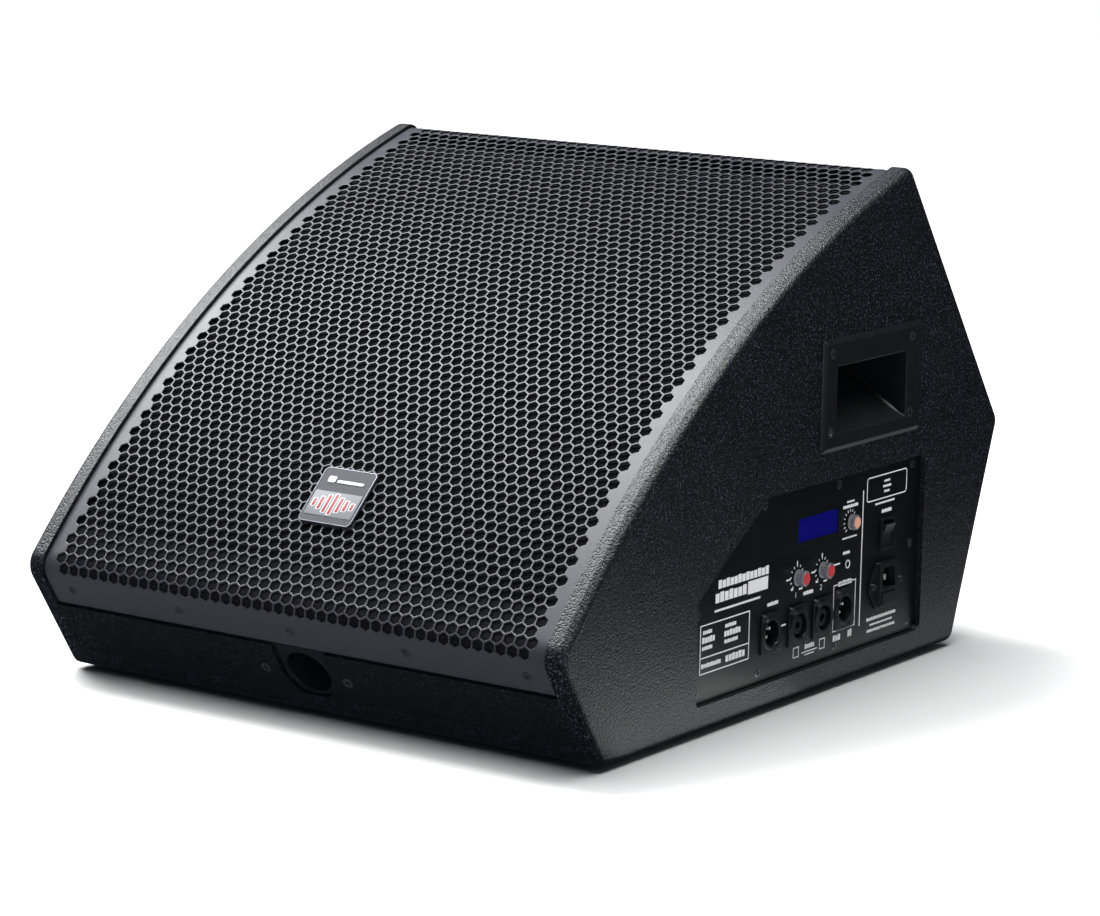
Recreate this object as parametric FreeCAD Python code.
import FreeCAD, Part
import math
import os

from FreeCAD import Placement, Rotation, Vector

# Stage monitor wedge with a coaxial driver and a built-in amplifier.
# Lengths are in millimetres. The cabinet is drawn with X across, Y = 0 and Z = 0 on the sharp
# front bottom edge, +Y towards the back and +Z up. Every piece is then moved so that the origin
# is on the floor under the middle of the cabinet.

# ---- driving dimensions: cabinet -------------------------------------------------------------
WIDTH = 480.0                    # across both side panels
SIDE_THICK = 15.0                # side panels
BOARD_THICK = 15.0               # bottom and rear panels
FRONT_THICK = 18.0               # lower front panel, which carries the pole cup
EDGE_ROUND = 6.0                 # rounding of the side panels' outer edges
FRONT_BOTTOM = (0.0, 0.0)        # corners of the side outline, each as (y, z)
KNEE = (-53.5, 84.2)
TOP = (396.8, 379.6)
REAR_MIDDLE = (549.3, 168.3)
REAR_BOTTOM = (487.6, 0.0)
CORNER_ROUNDS = {FRONT_BOTTOM: 10.0, KNEE: 17.0, TOP: 12.0, REAR_MIDDLE: 12.0, REAR_BOTTOM: 10.0}
FRONT_SAG = 39.2                 # how far the curved front stands out from its chord
FOOT_PROUD = 4.0                 # height of the rubber feet under the bottom panel

# ---- driving dimensions: grille --------------------------------------------------------------
GRILLE_INSET = 2.5               # the grille lies this far inside the side panels' edges
GRILLE_THICK = 1.5
GRILLE_SIDE_GAP = 0.8
LOWER_LIP_FROM = 63.0            # distance up the lower front face where the lower lip ends
UPPER_LIP_LENGTH = 30.0          # length of the upper lip down the rear face
LIP_SCREW_PITCH = 102.0
LIP_SCREW_UP = 77.3              # distance of the lower lip's screws up the lower front face
UPPER_LIP_SCREW = 19.0           # distance of the upper lip's screws from the top edge
FOAM_THICK = 5.0
BADGE_SIZE = (47.0, 48.5)
BADGE_THICK = 2.0
BADGE_UP = 98.0                  # arc length from the knee to the badge's middle

# ---- driving dimensions: pole cup ------------------------------------------------------------
POLE_UP = 37.4                   # distance of the pole axis up the lower front face
POLE_BORE_RADIUS = 18.25         # takes a 35 mm stand pole
POLE_DEPTH = 82.0
POLE_TONGUE_HALF = 22.0
POLE_TONGUE_SINK = 2.5
POLE_SCREW_X = 36.9

# ---- driving dimensions: driver, in its own frame (radius, height above the baffle) ------------
BAFFLE_SINK = 16.0               # baffle front below the chord of the curved front
BAFFLE_THICK = 18.0
DRIVER_RADIUS = 193.5            # 15 inch frame
DRIVER_CUTOUT = 178.0
DRIVER_BOLT_RADIUS = 185.5
DRIVER_BOLTS = 8
FRAME_FLANGE = 5.0
COIL_RADIUS = (38.4, 39.6)
CONE_EDGE_RADIUS = 157.0
GAP_PLATE_TOP = -104.0
GAP_PLATE_THICK = 8.0
MAGNET_THICK = 25.0
BACK_PLATE_THICK = 10.0
PORT_PLACE = (183.0, -208.0)     # reflex ports in the baffle's lower corners
PORT_RADIUS = 28.0

# ---- driving dimensions: amplifier, on the right side; outlines as (y, z) ---------------------
AMP_OPENING = [(115.5, 19.0), (433.0, 19.0), (433.0, 156.0), (206.5, 156.0), (115.5, 95.3)]
AMP_CORNER = 5.0
AMP_SINK = 4.5                   # plate face below the side panel's face
AMP_PLATE_THICK = 2.0
AMP_GASKET_THICK = 1.5
AMP_LEDGE = 12.0                 # width of the ledge that the plate is screwed to
CHASSIS_DEPTH = 70.0
AMP_SCREWS = [(204, 27), (312, 27), (421, 27), (421, 88), (421, 149.5), (312, 149.5),
              (208, 149.5), (121.5, 27), (121.5, 84)]
LCD_BOX = (255.5, 311.5, 114.1, 131.7)
ENCODER_AT = (329.5, 119.0)
LEVEL_KNOBS_AT = [(255.5, 89.0), (290.5, 89.0)]
AUX_AT = (325.5, 87.5)
AUX_RADIUS = 1.8                 # 3.5 mm jack
XLR_AT = {"thru": (219.5, 54.2), "mix": (323.0, 54.2)}
XLR_PINS = [(-3.9, 2.2), (3.9, 2.2), (0.0, -3.6)]
COMBO_AT = [(257.5, 53.0), (292.0, 53.0)]
ROCKER_AT = (384.5, 102.0)
INLET_AT = (384.5, 63.0)
KNOB_RADIUS = 6.2                # level knobs
KNOB_HEIGHT = 8.2
ENCODER_RADIUS = 6.0             # the display's push-turn knob
ENCODER_HEIGHT = 5.8
KNOB_GAP = 0.6                   # between a knob and the plate
SHAFT_RADIUS = 2.0
SHAFT_CLEARANCE = 0.05
PUSH_TRAVEL = 0.6                # of the display's push-turn control
BOARD_TOP = -12.0                # front of the control board, behind the plate's face
ROCKER_TILT = 9.0                # the power rocker leans this far either side of level

# ---- driving dimensions: handles -------------------------------------------------------------
HANDLE_AT = (346.0, 219.5)
HANDLE_SIZE = (144.0, 84.0)
HANDLE_PROUD = 3.0
HANDLE_BEVEL = 6.5
HANDLE_MOUTH = (101.0, 49.0)
HANDLE_MOUTH_SHIFT = (-3.0, -3.5)    # of the mouth, from the middle of the rim
HANDLE_WALL = 2.5
HANDLE_SCREWS = (58.0, 29.0)
HANDLE_SCREW_SHIFT = (-3.5, 2.5)
HANDLE_FLOOR_RISE = 34.0
HANDLE_DEPTH = 56.0

RUN = 60.0                       # overrun of cutting and clipping blocks
PANEL_HALF = WIDTH / 2 - SIDE_THICK
PLATE_FACE_X = WIDTH / 2 - AMP_SINK


# ---- shapes ----------------------------------------------------------------------------------
def block(x0, x1, y0, y1, z0, z1):
    """A box between two values on each axis."""
    return Part.makeBox(x1 - x0, y1 - y0, z1 - z0, Vector(x0, y0, z0))


def rod(radius, z0, z1, at=(0.0, 0.0)):
    """A cylinder along Z."""
    return Part.makeCylinder(radius, z1 - z0, Vector(at[0], at[1], z0))


def tube(outer, inner, z0, z1, at=(0.0, 0.0)):
    """A round tube along Z."""
    return rod(outer, z0, z1, at).cut(rod(inner, z0, z1, at))


def taper(radius0, radius1, z0, z1, at=(0.0, 0.0)):
    """A truncated cone along Z."""
    return Part.makeCone(radius0, radius1, z1 - z0, Vector(at[0], at[1], z0))


def prism(points, z0, z1, corner=0.0):
    """A flat outline raised from z0 to z1, with its upright edges rounded."""
    corners = [Vector(x, y, z0) for x, y in points]
    face = Part.Face(Part.makePolygon(corners + corners[:1]))
    solid = face.extrude(Vector(0, 0, z1 - z0))
    if not corner:
        return solid
    upright = [e for e in solid.Edges if abs(e.Vertexes[0].Z - e.Vertexes[-1].Z) > 1e-6]
    return solid.makeFillet(corner, upright)


def plate(at, size, z0, z1, corner=0.0):
    """A rectangle about a middle point, raised from z0 to z1."""
    x, y = at
    w, h = size[0] / 2, size[1] / 2
    return prism([(x - w, y - h), (x + w, y - h), (x + w, y + h), (x - w, y + h)], z0, z1, corner)


def turned(points):
    """A ring turned about Z from an outline of (radius, height) points."""
    corners = [Vector(r, 0, z) for r, z in points]
    face = Part.Face(Part.makePolygon(corners + corners[:1]))
    return face.revolve(Vector(0, 0, 0), Vector(0, 0, 1), 360)


def around(shape, count, start=0.0):
    """Copies of a shape spaced evenly about Z."""
    turns = [start + 360.0 * i / count for i in range(count)]
    return [shape.rotated(Vector(0, 0, 0), Vector(0, 0, 1), turn) for turn in turns]


def screw_blank(at, top, head, shank, length):
    """Countersunk screw without its drive, with its head's face at top."""
    head_depth = head - shank
    solid = taper(shank, head, top - head_depth, top, at)
    return solid.fuse(rod(shank, top - length, top - head_depth, at))


def screw(at, top, head, shank, length):
    """Countersunk screw with a cross recess."""
    x, y = at
    slot = head * 0.28
    reach = head * 0.62
    deep = head * 0.55
    cross = block(x - reach, x + reach, y - slot / 2, y + slot / 2, top - deep, top)
    cross = cross.fuse(block(x - slot / 2, x + slot / 2, y - reach, y + reach, top - deep, top))
    return screw_blank(at, top, head, shank, length).cut(cross)


def placed(shape, placement):
    """The shape moved from a local frame into the cabinet's."""
    return shape.transformed(placement.toMatrix(), True)


def group(solids):
    """Separate solids that share one node."""
    return Part.makeCompound(solids)


def mirrored(shape):
    """The same piece on the other side of the cabinet."""
    return shape.mirror(Vector(0, 0, 0), Vector(1, 0, 0))


# ---- the cabinet's outline and local frames ----------------------------------------------------
def bearing(p, q):
    """Direction from p to q in the side view, in degrees."""
    return math.degrees(math.atan2(q[1] - p[1], q[0] - p[0]))


def face_frame(p, q):
    """Frame on an outline edge: X across, Y from p to q, Z outwards."""
    return Placement(Vector(0, *p), Rotation(Vector(1, 0, 0), bearing(p, q)))


def sharp_prism(x0, x1):
    """The cabinet's outline with sharp corners, between two values of X."""
    def at(point):
        return Vector(x0, *point)
    chord_turn = math.radians(bearing(KNEE, TOP))
    crown = (
        (KNEE[0] + TOP[0]) / 2 - FRONT_SAG * math.sin(chord_turn),
        (KNEE[1] + TOP[1]) / 2 + FRONT_SAG * math.cos(chord_turn),
    )
    edges = [Part.Arc(at(KNEE), at(crown), at(TOP)).toShape()]
    corners = [TOP, REAR_MIDDLE, REAR_BOTTOM, FRONT_BOTTOM, KNEE]
    edges += [Part.makeLine(at(p), at(q)) for p, q in zip(corners, corners[1:])]
    return Part.Face(Part.Wire(edges)).extrude(Vector(x1 - x0, 0, 0))


def rounded_face():
    """The cabinet's outline with rounded corners, as a face at X = 0."""
    solid = sharp_prism(0.0, 1.0)
    for (y, z), radius in CORNER_ROUNDS.items():
        edges = [
            e for e in solid.Edges
            if all(math.hypot(v.Y - y, v.Z - z) < 1e-3 for v in e.Vertexes)
        ]
        solid = solid.makeFillet(radius, edges)
    return min(solid.Faces, key=lambda face: face.CenterOfMass.x)


OUTLINE = rounded_face()


def cabinet_prism(x0, x1, inset=0.0):
    """The rounded outline, drawn in by an inset, between two values of X."""
    face = OUTLINE.makeOffset2D(-inset) if inset else OUTLINE
    return face.translated(Vector(x0, 0, 0)).extrude(Vector(x1 - x0, 0, 0))


LOWER_FRONT = face_frame(FRONT_BOTTOM, KNEE)
UPPER_REAR = face_frame(TOP, REAR_MIDDLE)
LOWER_REAR = face_frame(REAR_MIDDLE, REAR_BOTTOM)
FRONT_CHORD = math.dist(KNEE, TOP)
BAFFLE = face_frame(KNEE, TOP).multiply(Placement(Vector(0, FRONT_CHORD / 2, -BAFFLE_SINK), Rotation()))
FRONT_ARC_RADIUS = (FRONT_CHORD ** 2 / 4 + FRONT_SAG ** 2) / (2 * FRONT_SAG)
RIGHT_SIDE = Placement(Vector(WIDTH / 2, 0, 0), Rotation(Vector(1, 1, 1), 120))
AMP_FACE = Placement(Vector(PLATE_FACE_X, 0, 0), Rotation(Vector(1, 1, 1), 120))


def slab(frame, thick, x_half=PANEL_HALF, start=-RUN, end=700.0):
    """A board's space along an outline edge, from its outer face inwards."""
    return placed(block(-x_half, x_half, start, end, -thick, RUN), frame)


def lip_region(lower_from, upper_length, inner):
    """The space outside the front, from the lower lip's end over the knee and top to the upper one's."""
    low_in = LOWER_FRONT.multVec(Vector(0, lower_from, -inner))
    low_out = LOWER_FRONT.multVec(Vector(0, lower_from, 2 * RUN))
    high_in = UPPER_REAR.multVec(Vector(0, upper_length, -inner))
    high_out = UPPER_REAR.multVec(Vector(0, upper_length, 2 * RUN))
    far = Vector(0, KNEE[0] - RUN, TOP[1] + 4 * RUN)
    points = [Vector(-WIDTH, p.y, p.z) for p in (low_in, high_in, high_out, far, low_out)]
    return Part.Face(Part.makePolygon(points + points[:1])).extrude(Vector(2 * WIDTH, 0, 0))


# ---- cabinet boards ----------------------------------------------------------------------------
def amp_outline(inset):
    """The amplifier opening drawn in by an inset, as a block through the side panel."""
    solid = prism(AMP_OPENING, -RUN, RUN, AMP_CORNER)
    face = min(solid.Faces, key=lambda f: f.CenterOfMass.z)
    return face.makeOffset2D(-inset).extrude(Vector(0, 0, 2 * RUN)) if inset else solid


def clipped(shape, z0, z1):
    """The part of a shape between two heights."""
    return shape.common(block(-2000, 2000, -2000, 2000, z0, z1))


def handle_mouth_at():
    """Middle of a handle's mouth, as (y, z)."""
    return (HANDLE_AT[0] + HANDLE_MOUTH_SHIFT[0], HANDLE_AT[1] + HANDLE_MOUTH_SHIFT[1])


def handle_cut():
    """The opening in a side panel that a handle's tub goes through."""
    (y, z), (w, h) = handle_mouth_at(), HANDLE_MOUTH
    return placed(plate((y, z + 4), (w + 7, h + 18), -RUN, RUN, 4.0), RIGHT_SIDE)


def side_panel():
    """A side panel with rounded outer edges and the handle's opening."""
    panel = cabinet_prism(PANEL_HALF, WIDTH / 2)
    outer = [e for e in panel.Edges if all(abs(v.X - WIDTH / 2) < 1e-6 for v in e.Vertexes)]
    return panel.makeFillet(EDGE_ROUND, outer).cut(handle_cut()).cut(handle_screw_blanks())


def cabinet_boards():
    """Side, bottom, front and rear boards and the baffle."""
    core = cabinet_prism(-PANEL_HALF, PANEL_HALF)
    bottom = core.common(block(-WIDTH, WIDTH, -WIDTH, 2 * WIDTH, 0, BOARD_THICK))
    front = core.common(slab(LOWER_FRONT, FRONT_THICK)).cut(bottom)
    rear_low = core.common(slab(LOWER_REAR, BOARD_THICK)).cut(bottom)
    rear_high = core.common(slab(UPPER_REAR, BOARD_THICK)).cut(slab(LOWER_REAR, BOARD_THICK))
    baffle_space = block(-PANEL_HALF, PANEL_HALF, -FRONT_CHORD, FRONT_CHORD, -BAFFLE_THICK, 0)
    baffle = core.common(placed(baffle_space, BAFFLE))
    baffle = baffle.cut(slab(LOWER_FRONT, FRONT_THICK)).cut(slab(UPPER_REAR, BOARD_THICK))

    under_grille = cabinet_prism(-WIDTH, WIDTH, GRILLE_INSET + GRILLE_THICK + 0.1)
    rabbet = lip_region(LOWER_LIP_FROM - 0.8, UPPER_LIP_LENGTH + 0.8, RUN).cut(under_grille)
    cup_space = pole_cup_outline(0.3)
    front = front.cut(rabbet).cut(cup_space).cut(placed(group(pole_screw_blanks()), LOWER_FRONT))
    front = front.cut(group(lip_screw_blanks()[0]))
    rear_high = rear_high.cut(rabbet).cut(group(lip_screw_blanks()[1]))

    driver_holes = [rod(DRIVER_CUTOUT, -RUN, RUN)]
    driver_holes += around(rod(2.6, -RUN, RUN, (DRIVER_BOLT_RADIUS, 0)), DRIVER_BOLTS, 22.5)
    driver_holes += [rod(PORT_RADIUS, -RUN, RUN, (s * PORT_PLACE[0], PORT_PLACE[1])) for s in (-1, 1)]
    baffle = baffle.cut(placed(group(driver_holes), BAFFLE))

    bottom = bottom.cut(group([rod(2.1, -1, 12, at) for at in foot_places()]))
    side = side_panel()
    recess = clipped(amp_outline(0), -AMP_SINK - AMP_PLATE_THICK - AMP_GASKET_THICK, 10)
    window = clipped(amp_outline(AMP_LEDGE), -RUN / 2, 10)
    pilots = [rod(1.75, -SIDE_THICK + 1, 0, at) for at in AMP_SCREWS]
    right = side.cut(placed(recess.fuse(window), RIGHT_SIDE)).cut(placed(group(pilots), RIGHT_SIDE))
    return {
        "side_panel_left": mirrored(side),
        "side_panel_right": right,
        "bottom_panel": bottom,
        "front_lower_panel": front,
        "rear_lower_panel": rear_low,
        "rear_upper_panel": rear_high,
        "baffle_board": baffle,
    }


def foot_places():
    """The four feet, as (x, y)."""
    return [(x, y) for x in (-190.0, 190.0) for y in (52.0, 440.0)]


def feet():
    """Round rubber feet with a screw sunk in each."""
    foot_radius, seat_radius, shank = 13.0, 5.0, 2.1
    soles, screws = [], []
    for at in foot_places():
        sole = taper(foot_radius - 1.5, foot_radius, -FOOT_PROUD, 0, at)
        sole = sole.cut(rod(seat_radius, -FOOT_PROUD, -1.2, at)).cut(rod(shank, -RUN, 1, at))
        soles.append(sole)
        screws.append(rod(4.0, -3.0, -1.2, at).fuse(rod(shank, -1.2, 12.0, at)))
    return {"rubber_feet": group(soles), "foot_screws": group(screws)}


def damping_pad():
    """Fibre pad on the inside of the lower rear panel."""
    reach = math.dist(REAR_MIDDLE, REAR_BOTTOM)
    pad = block(-200, 130, 20, reach - 45, -BOARD_THICK - 22, -BOARD_THICK)
    return {"damping_pad": placed(pad, LOWER_REAR)}


# ---- grille --------------------------------------------------------------------------------------
def lip_screw_blanks(maker=screw_blank):
    """Screws in the lower and in the upper lip, as two lists."""
    top = -GRILLE_INSET
    across = [i * LIP_SCREW_PITCH for i in (-2, -1, 0, 1, 2)]
    lower = [placed(maker((x, LIP_SCREW_UP), top, 3.6, 1.9, 14), LOWER_FRONT) for x in across]
    upper = [placed(maker((x, UPPER_LIP_SCREW), top, 3.6, 1.9, 12), UPPER_REAR) for x in across]
    return lower, upper


def grille():
    """Curved grille with a lip at each end, its foam, screws and badge."""
    half = PANEL_HALF - GRILLE_SIDE_GAP
    outer = cabinet_prism(-half, half, GRILLE_INSET)
    inner = cabinet_prism(-half, half, GRILLE_INSET + GRILLE_THICK)
    sheet = outer.cut(inner).common(lip_region(LOWER_LIP_FROM, UPPER_LIP_LENGTH, 12))
    blanks = lip_screw_blanks()
    sheet = sheet.cut(group(blanks[0] + blanks[1]))

    foam_top = GRILLE_INSET + GRILLE_THICK + 0.2
    foam_half = half - 6
    foam = cabinet_prism(-foam_half, foam_half, foam_top).cut(
        cabinet_prism(-foam_half, foam_half, foam_top + FOAM_THICK))
    span = FRONT_CHORD / 2 - 22
    foam = foam.common(placed(block(-WIDTH, WIDTH, -span, span, BAFFLE_SINK - 12, 80), BAFFLE))

    screws = lip_screw_blanks(screw)
    return {
        "grille_screen": sheet,
        "grille_foam": foam,
        "grille_screws": group(screws[0] + screws[1]),
        "badge_plate": badge(),
    }


def badge():
    """Small square badge bent to lie on the grille."""
    w, h = BADGE_SIZE
    angle = math.asin(FRONT_CHORD / 2 / FRONT_ARC_RADIUS)
    turn = math.degrees(BADGE_UP / FRONT_ARC_RADIUS - angle)
    on_arc = FRONT_ARC_RADIUS - GRILLE_INSET
    blank = plate((0, 0), (w, h), on_arc - 5, on_arc + 5, 4.0)
    radius_band = Part.makeCylinder(on_arc + BADGE_THICK, WIDTH, Vector(-WIDTH / 2, 0, 0), Vector(1, 0, 0))
    radius_band = radius_band.cut(
        Part.makeCylinder(on_arc + 0.05, WIDTH, Vector(-WIDTH / 2, 0, 0), Vector(1, 0, 0)))
    piece = blank.common(radius_band)
    centre = Placement(Vector(0, 0, FRONT_SAG - FRONT_ARC_RADIUS + BAFFLE_SINK), Rotation())
    tilt = Placement(Vector(0, 0, 0), Rotation(Vector(1, 0, 0), -turn))
    return placed(piece, BAFFLE.multiply(centre).multiply(tilt))


# ---- pole cup --------------------------------------------------------------------------------------
def pole_screw_blanks():
    """The two screws beside the pole cup."""
    return [screw_blank((s * POLE_SCREW_X, POLE_UP), 0, 4.2, 2.1, 22) for s in (-1, 1)]


def tongue_prism(gap, z0, z1):
    """The cup's tongue: a round end below, straight sides up to the lip and flared top corners."""
    half = POLE_TONGUE_HALF + gap
    top = LOWER_LIP_FROM - 0.8
    flare = 3.5
    solid = block(-half, half, POLE_UP, top, z0, z1)
    solid = solid.fuse(rod(POLE_TONGUE_HALF + gap, z0, z1, (0, POLE_UP)))
    wing = block(-half - flare, half + flare, top - flare, top, z0, z1)
    for side in (-1, 1):
        wing = wing.cut(rod(flare, z0, z1, (side * (half + flare), top - flare)))
    return solid.fuse(wing).removeSplitter()


def pole_cup_outline(gap):
    """The opening in the lower front panel that the cup's tongue fills."""
    return placed(tongue_prism(gap, -RUN, RUN), LOWER_FRONT)


def pole_cup():
    """Cup for a stand pole, let into the lower front panel from inside."""
    mouth_top = -POLE_TONGUE_SINK
    body = tongue_prism(0.0, -FRONT_THICK, mouth_top)
    flange = plate((0, POLE_UP - 2), (92, 48), -FRONT_THICK - 3, -FRONT_THICK, 6.0)
    barrel = rod(POLE_BORE_RADIUS + 2.75, -POLE_DEPTH, -FRONT_THICK, (0, POLE_UP))
    bore = rod(POLE_BORE_RADIUS, 3 - POLE_DEPTH, RUN, (0, POLE_UP))
    flare = taper(POLE_BORE_RADIUS, POLE_BORE_RADIUS + 1.2, mouth_top - 1.2, mouth_top, (0, POLE_UP))
    blanks = pole_screw_blanks()
    cup = body.fuse(flange).fuse(barrel).removeSplitter().cut(bore).cut(flare).cut(group(blanks))
    screws = [screw((s * POLE_SCREW_X, POLE_UP), 0, 4.2, 2.1, 22) for s in (-1, 1)]
    return {
        "pole_cup": placed(cup, LOWER_FRONT),
        "pole_cup_screws": placed(group(screws), LOWER_FRONT),
    }


# ---- coaxial driver and ports ------------------------------------------------------------------------
def driver():
    """Every piece of the coaxial driver, then moved onto the baffle."""
    plate_foot = GAP_PLATE_TOP - GAP_PLATE_THICK
    magnet_foot = plate_foot - MAGNET_THICK
    back_foot = magnet_foot - BACK_PLATE_THICK
    coil_in, coil_out = COIL_RADIUS
    edge = CONE_EDGE_RADIUS

    basket = turned([
        (DRIVER_CUTOUT - 1.5, FRAME_FLANGE), (DRIVER_RADIUS, FRAME_FLANGE), (DRIVER_RADIUS, 0),
        (DRIVER_CUTOUT - 0.5, 0), (DRIVER_CUTOUT - 0.5, -12), (94, -95), (94, GAP_PLATE_TOP),
        (52, GAP_PLATE_TOP), (52, -100), (90, -100), (90, -93), (173, -11), (DRIVER_CUTOUT - 1.5, 0),
    ])
    window = prism([(112, -16), (162, -30), (162, 30), (112, 16)], -98, -14)
    basket = basket.cut(group(around(window, 6)))
    bolts = around(rod(3.2, -1, FRAME_FLANGE + 1, (DRIVER_BOLT_RADIUS, 0)), DRIVER_BOLTS, 22.5)
    basket = basket.cut(group(bolts))

    bolt = rod(2.6, -16, FRAME_FLANGE, (DRIVER_BOLT_RADIUS, 0))
    bolt_head = rod(5.0, FRAME_FLANGE, FRAME_FLANGE + 5, (DRIVER_BOLT_RADIUS, 0))
    socket = prism(
        [(DRIVER_BOLT_RADIUS + 2.7 * math.cos(math.radians(60 * i)), 2.7 * math.sin(math.radians(60 * i)))
         for i in range(6)], FRAME_FLANGE + 2, FRAME_FLANGE + 5)
    bolt = bolt.fuse(bolt_head).cut(socket)

    cone = turned([
        (coil_out, -74), (coil_out + 1.2, -74), (coil_out + 1.2, -71.5), (edge, -9.4), (edge, -0.3),
        (edge - 1.0, -0.3), (edge - 1.0, -8.2), (coil_out + 0.4, -69), (coil_out, -69),
    ])
    roll_centre = (edge + DRIVER_CUTOUT - 1.5) / 2
    roll_outer = (DRIVER_CUTOUT - 1.5 - edge) / 2 - 0.3
    roll = Part.makeTorus(roll_centre, roll_outer).cut(Part.makeTorus(roll_centre, roll_outer - 1.5))
    roll = clipped(roll, 0, RUN)
    pole = turned([
        (19, GAP_PLATE_TOP), (37, GAP_PLATE_TOP), (37, magnet_foot), (86, magnet_foot),
        (86, back_foot), (19, back_foot),
    ])
    horn = turned([
        (16, GAP_PLATE_TOP + 0.2), (34, GAP_PLATE_TOP + 0.2), (34, -96), (19.5, -90), (24, -66), (42, -38),
        (70, -14), (92, 2), (100, 4), (100, 7), (90, 6), (67, -11), (38.5, -36), (21, -65), (16, -92),
    ])
    compression = turned([(0, back_foot), (30, back_foot), (30, back_foot - 8), (45, back_foot - 8),
                          (45, back_foot - 46), (36, back_foot - 52), (0, back_foot - 52)])
    pieces = {
        "driver_basket": basket,
        "driver_screws": group(around(bolt, DRIVER_BOLTS, 22.5)),
        "woofer_cone": cone,
        "voice_coil": tube(coil_out, coil_in, -119, -66),
        "cone_surround": roll,
        "coil_spider": tube(98, coil_out + 0.2, -85, -83),
        "gap_plate": tube(82, 41.4, plate_foot, GAP_PLATE_TOP),
        "ferrite_magnet": tube(90, 47, magnet_foot, plate_foot),
        "back_plate": pole,
        "coaxial_horn": horn,
        "compression_driver": compression,
    }
    return {name: placed(shape, BAFFLE) for name, shape in pieces.items()}


# ---- amplifier ---------------------------------------------------------------------------------------
def hexagon_ear(at, half_width, half_height, ear, z0, z1):
    """A plate with a pointed ear on each side."""
    x, y = at
    points = [(x - half_width, y - half_height), (x + half_width, y - half_height), (x + ear, y - 3),
              (x + ear, y + 3), (x + half_width, y + half_height), (x - half_width, y + half_height),
              (x - ear, y + 3), (x - ear, y - 3)]
    return prism(points, z0, z1, 1.2)


def connector_screw_places():
    """Screws that hold the connectors, as (y, z)."""
    corners = [(-9.5, 12.0), (9.5, -12.0)]
    round_ones = list(XLR_AT.values()) + COMBO_AT
    places = [(y + dy, z + dz) for y, z in round_ones for dy, dz in corners]
    return places + [(INLET_AT[0] + s * 20.0, INLET_AT[1]) for s in (-1, 1)]


def amp_frame():
    """Face plate, gasket, chassis and their screws."""
    back = -AMP_PLATE_THICK
    face = clipped(amp_outline(0.4), back, 0)
    lx0, lx1, lz0, lz1 = LCD_BOX
    holes = [block(lx0, lx1, lz0, lz1, -9, 9)]
    holes += [rod(3.5, -9, 9, at) for at in LEVEL_KNOBS_AT + [ENCODER_AT]]
    holes += [rod(12.0, -9, 9, at) for at in list(XLR_AT.values()) + COMBO_AT]
    holes += [rod(3.0, -9, 9, AUX_AT), plate(ROCKER_AT, (19, 22), -9, 9), plate(INLET_AT, (28, 33), -9, 9)]
    holes += [screw_blank(at, 0, 3.4, 1.7, 11) for at in AMP_SCREWS]
    holes += [rod(1.5, -9, 9, at) for at in connector_screw_places()]
    face = face.cut(group(holes))

    screw_paths = group([rod(1.9, -20, 9, at) for at in AMP_SCREWS])
    seal = clipped(amp_outline(0.4).cut(amp_outline(AMP_LEDGE - 1.5)), back - AMP_GASKET_THICK, back)
    shell = clipped(amp_outline(AMP_LEDGE + 2.5), back - CHASSIS_DEPTH, back)
    hollow = clipped(amp_outline(AMP_LEDGE + 4.0), back - CHASSIS_DEPTH + 1.5, back)
    screws = [screw(at, 0, 3.4, 1.7, 9) for at in AMP_SCREWS]
    small = [pan_screw(at) for at in connector_screw_places()]
    return {
        "amp_plate": face,
        "amp_gasket": seal.cut(screw_paths),
        "amp_chassis": shell.cut(hollow),
        "amp_plate_screws": group(screws),
        "connector_screws": group(small),
    }


def pan_screw(at):
    """Small domed screw standing on a connector's flange."""
    head, seat = 2.6, 1.6
    dome = rod(head, seat, seat + 1.3, at)
    cross = block(at[0] - 1.6, at[0] + 1.6, at[1] - 0.35, at[1] + 0.35, seat + 0.5, seat + 2)
    cross = cross.fuse(block(at[0] - 0.35, at[0] + 0.35, at[1] - 1.6, at[1] + 1.6, seat + 0.5, seat + 2))
    return dome.fuse(rod(1.4, -7, seat, at)).cut(cross)


def amp_boards():
    """Boards and heat sink at the back of the chassis."""
    floor = -AMP_PLATE_THICK - CHASSIS_DEPTH + 1.5
    board_top = floor + 4.6
    amp_board = block(140, 300, 36, 128, floor + 3, board_top)
    amp_board = amp_board.cut(block(130, 206, 88, 140, floor, board_top + 1))
    fins = [block(150, 246, y, y + 2, board_top + 6, board_top + 26) for y in range(40, 86, 6)]
    sink = block(150, 246, 40, 84, board_top, board_top + 6)
    for fin in fins:
        sink = sink.fuse(fin)
    supply = block(306, 414, 36, 138, floor + 3, board_top)
    supply = supply.fuse(block(318, 352, 44, 84, board_top, board_top + 24))
    supply = supply.fuse(rod(11, board_top, board_top + 22, (390, 60)))
    supply = supply.fuse(rod(11, board_top, board_top + 22, (390, 96)))
    return {"amplifier_board": amp_board, "heat_sink": sink, "power_supply_board": supply}


def display_window():
    """Clear window over the display."""
    lx0, lx1, lz0, lz1 = LCD_BOX
    gap = 0.15
    return {"display_window": block(lx0 + gap, lx1 - gap, lz0 + gap, lz1 - gap, -1.9, -0.4)}


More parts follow.
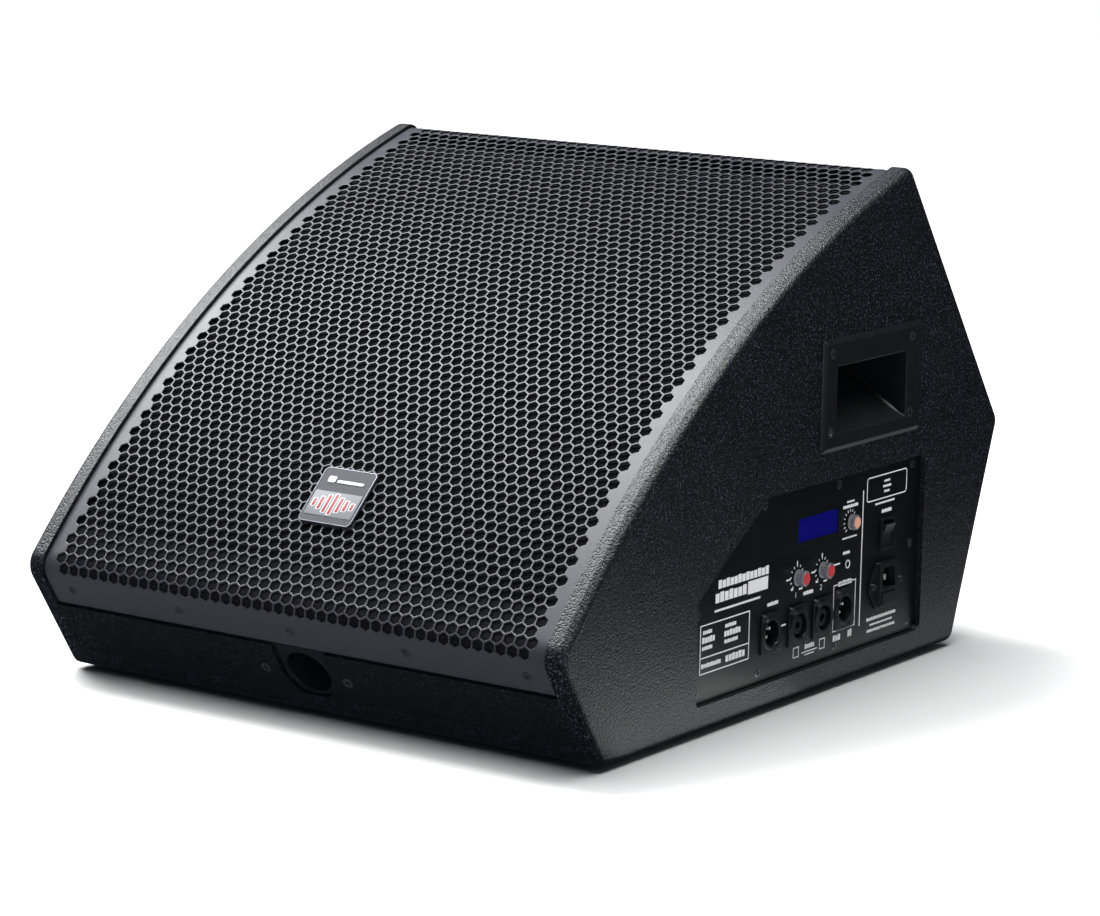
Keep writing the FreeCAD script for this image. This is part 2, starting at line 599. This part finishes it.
def control_board():
    """Board behind the plate with the display and the housings of the three rotary controls."""
    lx0, lx1, lz0, lz1 = LCD_BOX
    board = block(lx0 - 12, ENCODER_AT[0] + 9, 80, 138, BOARD_TOP - 1.6, BOARD_TOP)
    board = board.cut(plate(AUX_AT, (14, 22), -30, 0))
    board = board.fuse(block(lx0 - 4, lx1 + 4, lz0 - 5, lz1 + 5, BOARD_TOP, -AMP_PLATE_THICK - 0.2))
    for at in LEVEL_KNOBS_AT + [ENCODER_AT]:
        housing = plate(at, (13, 13), BOARD_TOP, -AMP_PLATE_THICK, 1.0)
        housing = housing.fuse(rod(3.3, -AMP_PLATE_THICK, 0.0, at))
        board = board.fuse(housing).cut(rod(SHAFT_RADIUS + SHAFT_CLEARANCE, BOARD_TOP + 1.5, 1, at))
    return {"control_board": board}


def shaft(at, top, foot):
    """Control shaft that the knob is pressed on."""
    return rod(SHAFT_RADIUS, foot, top, at)


def knob(at, radius, low, high):
    """Tapered knob pressed on its shaft, and the cap in its end."""
    x, y = at
    cap_radius = radius - 1.7
    body = taper(radius, radius - 1.2, low, high, at)
    body = body.cut(rod(SHAFT_RADIUS, low, high - 3.0, at)).cut(rod(cap_radius, high - 1.5, high + 1, at))
    pointer = block(x - 0.4, x + 0.4, y + radius - 2.2, y + radius + 1, low, high)
    cap = rod(cap_radius, high - 1.5, high + 0.6, at)
    return body.cut(pointer), cap


def controls():
    """Knobs, caps and shafts of the two level controls and the display's push-turn control."""
    pieces = {}
    for i, at in enumerate(LEVEL_KNOBS_AT, 1):
        pieces["level_shaft_%d" % i] = shaft(at, KNOB_HEIGHT - 3.0, BOARD_TOP + 2.0)
        pieces["level_knob_%d" % i], pieces["level_cap_%d" % i] = knob(
            at, KNOB_RADIUS, KNOB_GAP, KNOB_HEIGHT)
    low, high = KNOB_GAP + PUSH_TRAVEL, ENCODER_HEIGHT + PUSH_TRAVEL
    pieces["encoder_shaft"] = shaft(ENCODER_AT, high - 3.0, BOARD_TOP + 3.0)
    pieces["encoder_knob"], pieces["encoder_cap"] = knob(ENCODER_AT, ENCODER_RADIUS, low, high)
    return pieces


def connectors():
    """Plug and jack connectors on the plate."""
    screw_paths = group([rod(1.45, -9, 9, at) for at in connector_screw_places()])
    pieces, pins = {}, []
    for name, at in XLR_AT.items():
        flange = plate(at, (26, 31), 0, 1.6, 3.0)
        shell = flange.fuse(rod(11.9, -18, 2.4, at))
        pieces["xlr_%s_socket" % name] = shell.cut(rod(9.6, -15, 4, at)).cut(screw_paths)
        pins += [rod(1.15, -15, -2.5, (at[0] + dy, at[1] + dz)) for dy, dz in XLR_PINS]
    pieces["xlr_pins"] = group(pins)
    for i, at in enumerate(COMBO_AT, 1):
        shell = plate(at, (26, 31), 0, 1.6, 3.0).fuse(rod(11.9, -30, 0, at)).fuse(rod(12.6, 1.6, 3.2, at))
        shell = shell.cut(tube(9.5, 6.6, -12, 4, at)).cut(rod(6.6, 1.0, 4, at)).cut(rod(3.25, -28, 4, at))
        pieces["combo_socket_%d" % i] = shell.cut(screw_paths)
    jack = rod(3.5, 0, 1.4, AUX_AT).fuse(rod(3.0, -AMP_PLATE_THICK, 0, AUX_AT))
    jack = jack.fuse(plate(AUX_AT, (9, 12), -16, -AMP_PLATE_THICK)).cut(rod(AUX_RADIUS, -14, 4, AUX_AT))
    pieces["aux_jack"] = jack
    return pieces


def mains_parts():
    """Mains inlet with its fuse drawer, and the power switch."""
    y, z = INLET_AT
    screw_paths = group([rod(1.45, -9, 9, at) for at in connector_screw_places()])
    inlet = hexagon_ear(INLET_AT, 14.5, 18.0, 25.0, 0, 1.6)
    inlet = inlet.fuse(plate((y, z + 0.5), (27, 34), 0, 4.0, 1.5)).fuse(plate(INLET_AT, (27.6, 32.6), -30, 0))
    mouth = prism([(y - 9.5, z - 3), (y + 9.5, z - 3), (y + 9.5, z + 9), (y + 6, z + 13.5),
                   (y - 6, z + 13.5), (y - 9.5, z + 9)], -18, 5, 1.0)
    drawer_bay = block(y - 10.3, y + 10.3, z - 15.3, z - 5.7, -24, 5)
    inlet = inlet.cut(mouth).cut(drawer_bay).cut(screw_paths)
    pins = [block(y + dx - 1, y + dx + 1, z + dz - 2.2, z + dz + 2.2, -18, -3)
            for dx, dz in ((-6, 3), (6, 3), (0, 8))]
    drawer = block(y - 10, y + 10, z - 15, z - 6, -23, 4.6)
    drawer = drawer.cut(block(y - 8.6, y + 8.6, z - 12, z - 6, -20, 0))
    drawer = drawer.cut(block(y - 5, y + 5, z - 6.8, z - 5, 2.6, 3.6))

    sy, sz = ROCKER_AT
    bezel = plate(ROCKER_AT, (21, 25), 0, 2.0, 1.5).fuse(plate(ROCKER_AT, (18.6, 21.6), -22, 0))
    bezel = bezel.cut(plate(ROCKER_AT, (15.0, 19.6), -14, 4))
    hub = Vector(0, -4, 0)
    lever = prism([(-8.5, 3.0), (0, 1.2), (8.5, 3.0), (7.4, -8.5), (-7.4, -8.5)], -7.1, 7.1)
    lever = lever.rotated(hub, Vector(0, 0, 1), ROCKER_TILT).fuse(rod(1.2, -8.2, 8.2, (hub.x, hub.y)))
    switch_place = Placement(Vector(sy, sz, 0), Rotation(Vector(1, 1, 1), 120))
    rocker = placed(lever, switch_place)
    bezel = bezel.cut(placed(rod(1.3, -8.6, 8.6, (hub.x, hub.y)), switch_place))
    return {
        "mains_inlet": inlet,
        "inlet_pins": group(pins),
        "fuse_drawer": drawer,
        "switch_frame": bezel,
        "power_rocker": rocker,
    }


# ---- handles -----------------------------------------------------------------------------------------
def handle_screw_places():
    """The four screws of a handle, as (y, z)."""
    y, z = HANDLE_AT[0] + HANDLE_SCREW_SHIFT[0], HANDLE_AT[1] + HANDLE_SCREW_SHIFT[1]
    return [(y + sy * HANDLE_SCREWS[0], z + sz * HANDLE_SCREWS[1]) for sy in (-1, 1) for sz in (-1, 1)]


def handle_screw_blanks():
    """Screws through a handle's rim into the side panel, as cutting shapes."""
    return placed(group([rod(1.9, -13, 5, at) for at in handle_screw_places()]), RIGHT_SIDE)


def handle():
    """Recessed handle: a bevelled rim and a tub whose floor rises inwards."""
    y, z = HANDLE_AT
    w, h = HANDLE_SIZE
    rim_low = plate(HANDLE_AT, (w, h), 0, 0.6, 2.0)
    inner_w, inner_h = w / 2 - HANDLE_BEVEL, h / 2 - HANDLE_BEVEL
    wires = []
    for half_w, half_h, height in ((w / 2, h / 2, 0.6), (inner_w, inner_h, HANDLE_PROUD)):
        corners = [Vector(y + sx * half_w, z + sz * half_h, height)
                   for sx, sz in ((-1, -1), (1, -1), (1, 1), (-1, 1))]
        wires.append(Part.makePolygon(corners + corners[:1]))
    rim = Part.makeLoft(wires, True, True).fuse(rim_low)

    mouth_y, mouth_z = handle_mouth_at()
    mouth_low = mouth_z - HANDLE_MOUTH[1] / 2
    mouth_high = mouth_z + HANDLE_MOUTH[1] / 2
    inner = [(HANDLE_PROUD + 1, mouth_low - 1.5), (HANDLE_PROUD + 1, mouth_high), (-4.0, mouth_high + 1.5),
             (-9.0, mouth_high + 9), (-HANDLE_DEPTH, mouth_high + 9), (-HANDLE_DEPTH, mouth_low + HANDLE_FLOOR_RISE),
             (HANDLE_PROUD - 3, mouth_low)]
    t = HANDLE_WALL
    outer = [(0.3, mouth_low - t), (0.3, mouth_high + 9 + t), (-HANDLE_DEPTH - t, mouth_high + 9 + t),
             (-HANDLE_DEPTH - t, mouth_low + HANDLE_FLOOR_RISE - t)]
    half = HANDLE_MOUTH[0] / 2

    def along(points, reach):
        corners = [Vector(mouth_y - reach, b, a) for a, b in points]
        return Part.Face(Part.makePolygon(corners + corners[:1])).extrude(Vector(2 * reach, 0, 0))

    solid = rim.fuse(along(outer, half + t)).removeSplitter().cut(along(inner, half))
    blanks = [screw_blank(at, HANDLE_PROUD, 3.9, 1.9, 16) for at in handle_screw_places()]
    solid = solid.cut(group(blanks))
    screws = group([screw(at, HANDLE_PROUD, 3.9, 1.9, 15) for at in handle_screw_places()])
    right = placed(solid, RIGHT_SIDE)
    right_screws = placed(screws, RIGHT_SIDE)
    return {
        "handle_right": right,
        "handle_left": mirrored(right),
        "handle_screws": group(right_screws.Solids + mirrored(right_screws).Solids),
    }


# ---- the whole part ------------------------------------------------------------------------------------
def amplifier():
    """Every amplifier piece, moved onto the right side."""
    pieces = {}
    makers = (amp_frame, amp_boards, display_window, control_board, controls, connectors, mains_parts)
    for make in makers:
        pieces.update(make())
    return {name: placed(shape, AMP_FACE) for name, shape in pieces.items()}


def all_pieces():
    """Every node, in the cabinet's frame."""
    pieces = {}
    for make in (cabinet_boards, feet, damping_pad, grille, pole_cup, driver, amplifier, handle):
        pieces.update(make())
    return pieces


os.makedirs("parts", exist_ok=True)
outline_box = OUTLINE.BoundBox
shift = Vector(0, -(outline_box.YMin + outline_box.YMax) / 2, FOOT_PROUD)
print("moved back by %.4f mm and up by %.1f mm" % (-shift.y, shift.z))
for node, shape in all_pieces().items():
    moved = shape.translated(shift)
    moved.exportStep("parts/%s.step" % node)
    print("%-20s solids %d  valid %s  volume %.1f cm3" % (
        node, len(moved.Solids), moved.isValid(), moved.Volume / 1000))
